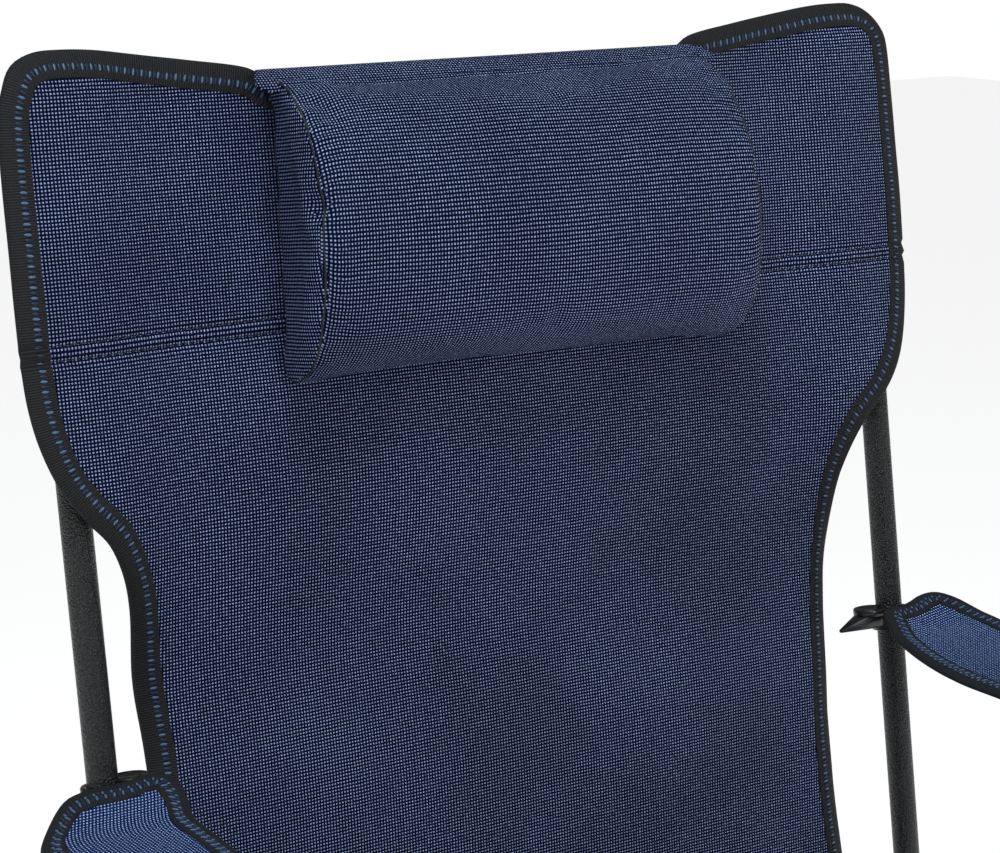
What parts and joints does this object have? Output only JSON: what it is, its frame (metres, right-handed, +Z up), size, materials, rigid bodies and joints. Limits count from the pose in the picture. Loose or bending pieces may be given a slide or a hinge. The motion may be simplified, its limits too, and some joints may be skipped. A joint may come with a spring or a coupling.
{
  "type": "folding camp chair",
  "caption": "High-backed folding camp chair with a scissor-braced tube frame, two-tone woven cloth seat, back and arms, and a sewn-on headrest pillow.",
  "frame": {"origin": "centre of the bounding box, on the floor", "axes": "+Z up, -Y towards the front of the seat, +X to the sitter's left as seen from the front on the right"},
  "size_m": [0.7, 0.7902, 1.0894],
  "materials": {
    "coated_steel": "textured black powder coat",
    "black_plastic": "moulded, semi-gloss",
    "rivet_steel": "plated steel",
    "woven_cloth": "two-tone blue basket weave"
  },
  "bodies": {
    "front_left_leg": {"post_front_left": "coated_steel", "lower_hub_front_left": "black_plastic", "foot_boot_front_left": "black_plastic", "arm_cap_left": "black_plastic", "arm_cloth_left": "woven_cloth"},
    "front_right_leg": {"post_front_right": "coated_steel", "lower_hub_front_right": "black_plastic", "foot_boot_front_right": "black_plastic", "arm_cap_right": "black_plastic", "arm_cloth_right": "woven_cloth"},
    "rear_left_leg": {"post_rear_left": "coated_steel", "lower_hub_rear_left": "black_plastic", "foot_boot_rear_left": "black_plastic", "post_plug_left": "black_plastic", "arm_clip_left": "black_plastic", "back_panel": "woven_cloth", "headrest_pillow": "woven_cloth"},
    "rear_right_leg": {"post_rear_right": "coated_steel", "lower_hub_rear_right": "black_plastic", "foot_boot_rear_right": "black_plastic", "post_plug_right": "black_plastic", "arm_clip_right": "black_plastic"},
    "collar_front_left": {"sliding_collar_front_left": "black_plastic"},
    "collar_front_right": {"sliding_collar_front_right": "black_plastic"},
    "collar_rear_left": {"sliding_collar_rear_left": "black_plastic"},
    "collar_rear_right": {"sliding_collar_rear_right": "black_plastic"},
    "front_rising_tube": {"scissor_tube_front_rising": "coated_steel", "centre_rivet_front": "rivet_steel", "rivet_front_rising_foot": "rivet_steel", "rivet_front_rising_top": "rivet_steel"},
    "front_falling_tube": {"scissor_tube_front_falling": "coated_steel", "rivet_front_falling_foot": "rivet_steel", "rivet_front_falling_top": "rivet_steel"},
    "rear_rising_tube": {"scissor_tube_rear_rising": "coated_steel", "centre_rivet_rear": "rivet_steel", "rivet_rear_rising_foot": "rivet_steel", "rivet_rear_rising_top": "rivet_steel"},
    "rear_falling_tube": {"scissor_tube_rear_falling": "coated_steel", "rivet_rear_falling_foot": "rivet_steel", "rivet_rear_falling_top": "rivet_steel"},
    "left_rising_tube": {"scissor_tube_left_rising": "coated_steel", "centre_rivet_left": "rivet_steel", "rivet_left_rising_foot": "rivet_steel", "rivet_left_rising_top": "rivet_steel"},
    "left_falling_tube": {"scissor_tube_left_falling": "coated_steel", "rivet_left_falling_foot": "rivet_steel", "rivet_left_falling_top": "rivet_steel"},
    "right_rising_tube": {"scissor_tube_right_rising": "coated_steel", "centre_rivet_right": "rivet_steel", "rivet_right_rising_foot": "rivet_steel", "rivet_right_rising_top": "rivet_steel"},
    "right_falling_tube": {"scissor_tube_right_falling": "coated_steel", "rivet_right_falling_foot": "rivet_steel", "rivet_right_falling_top": "rivet_steel"},
    "seat_rear": {"seat_panel_rear": "woven_cloth"},
    "seat_front": {"seat_panel_front": "woven_cloth"}
  },
  "joints": [
    {"name": "frame_fold", "type": "hinge", "parent": "front_left_leg", "child": "front_rising_tube", "pos_m": [-0.248, -0.35812, 0.1195], "axis": [0, -0.9903, 0.1392], "range_deg": [0, 56.61], "deforming": ["back_panel", "headrest_pillow", "seat_panel_rear", "seat_panel_front", "arm_cloth_left", "arm_cloth_right"]},
    {"name": "front_scissor_cross", "type": "hinge", "parent": "front_rising_tube", "child": "front_falling_tube", "pos_m": [0, -0.33788, 0.26353], "axis": [0, -0.9903, 0.1392], "range_deg": [-113.24, 0]},
    {"name": "front_right_foot_pivot", "type": "hinge", "parent": "front_falling_tube", "child": "front_right_leg", "pos_m": [0.248, -0.35812, 0.1195], "axis": [0, -0.9903, 0.1392], "range_deg": [0, 56.63]},
    {"name": "front_left_collar_pivot", "type": "hinge", "parent": "front_falling_tube", "child": "collar_front_left", "pos_m": [-0.248, -0.31764, 0.40755], "axis": [0, -0.9903, 0.1392], "range_deg": [0, 56.63]},
    {"name": "front_right_collar_pivot", "type": "hinge", "parent": "front_rising_tube", "child": "collar_front_right", "pos_m": [0.248, -0.31764, 0.40755], "axis": [0, -0.9903, 0.1392], "range_deg": [-56.63, 0]},
    {"name": "left_front_foot_pivot", "type": "hinge", "parent": "front_left_leg", "child": "left_rising_tube", "pos_m": [-0.3, -0.30663, 0.11227], "axis": [1, 0, 0], "range_deg": [0, 56.63]},
    {"name": "left_scissor_cross", "type": "hinge", "parent": "left_rising_tube", "child": "left_falling_tube", "pos_m": [-0.3, -0.0408, 0.22177], "axis": [1, 0, 0], "range_deg": [-113.24, 0]},
    {"name": "rear_left_foot_pivot", "type": "hinge", "parent": "left_falling_tube", "child": "rear_left_leg", "pos_m": [-0.3, 0.18454, 0.04324], "axis": [1, 0, 0], "range_deg": [0, 56.63]},
    {"name": "rear_left_collar_pivot", "type": "hinge", "parent": "left_rising_tube", "child": "collar_rear_left", "pos_m": [-0.3, 0.22503, 0.33128], "axis": [1, 0, 0], "range_deg": [-56.63, 0]},
    {"name": "rear_left_side_pivot", "type": "hinge", "parent": "rear_left_leg", "child": "rear_rising_tube", "pos_m": [-0.248, 0.23604, 0.036], "axis": [0, -0.9903, 0.1392], "range_deg": [0, 56.63]},
    {"name": "rear_scissor_cross", "type": "hinge", "parent": "rear_rising_tube", "child": "rear_falling_tube", "pos_m": [0, 0.25628, 0.18002], "axis": [0, -0.9903, 0.1392], "range_deg": [-113.24, 0]},
    {"name": "right_front_foot_pivot", "type": "hinge", "parent": "front_right_leg", "child": "right_rising_tube", "pos_m": [0.3, -0.30663, 0.11227], "axis": [1, 0, 0], "range_deg": [0, 56.63]},
    {"name": "right_scissor_cross", "type": "hinge", "parent": "right_rising_tube", "child": "right_falling_tube", "pos_m": [0.3, -0.0408, 0.22177], "axis": [1, 0, 0], "range_deg": [-113.24, 0]},
    {"name": "rear_right_foot_pivot", "type": "hinge", "parent": "right_falling_tube", "child": "rear_right_leg", "pos_m": [0.3, 0.18454, 0.04324], "axis": [1, 0, 0], "range_deg": [0, 56.63]},
    {"name": "rear_right_collar_pivot", "type": "hinge", "parent": "right_rising_tube", "child": "collar_rear_right", "pos_m": [0.3, 0.22503, 0.33128], "axis": [1, 0, 0], "range_deg": [-56.63, 0]},
    {"name": "seat_rear_edge", "type": "hinge", "parent": "collar_rear_left", "child": "seat_rear", "pos_m": [0, 0.265, 0.3499], "axis": [1, 0, 0], "range_deg": [0, 71.58]},
    {"name": "seat_middle_seam", "type": "hinge", "parent": "seat_rear", "child": "seat_front", "pos_m": [0, -0.0228, 0.3499], "axis": [1, 0, 0], "range_deg": [-143.13, 0]}
  ],
  "couplings": [
    {"joint": "front_scissor_cross", "follows": "frame_fold", "ratio": -2},
    {"joint": "front_right_foot_pivot", "follows": "frame_fold", "ratio": 1},
    {"joint": "front_left_collar_pivot", "follows": "frame_fold", "ratio": 1},
    {"joint": "front_right_collar_pivot", "follows": "frame_fold", "ratio": -1},
    {"joint": "left_front_foot_pivot", "follows": "frame_fold", "ratio": 1},
    {"joint": "left_scissor_cross", "follows": "frame_fold", "ratio": -2},
    {"joint": "rear_left_foot_pivot", "follows": "frame_fold", "ratio": 1},
    {"joint": "rear_left_collar_pivot", "follows": "frame_fold", "ratio": -1},
    {"joint": "rear_left_side_pivot", "follows": "frame_fold", "ratio": 1},
    {"joint": "rear_scissor_cross", "follows": "frame_fold", "ratio": -2},
    {"joint": "right_front_foot_pivot", "follows": "frame_fold", "ratio": 1},
    {"joint": "right_scissor_cross", "follows": "frame_fold", "ratio": -2},
    {"joint": "rear_right_foot_pivot", "follows": "frame_fold", "ratio": 1},
    {"joint": "rear_right_collar_pivot", "follows": "frame_fold", "ratio": -1},
    {"joint": "seat_rear_edge", "follows": "frame_fold", "ratio": 1.264},
    {"joint": "seat_middle_seam", "follows": "frame_fold", "ratio": -2.528}
  ]
}
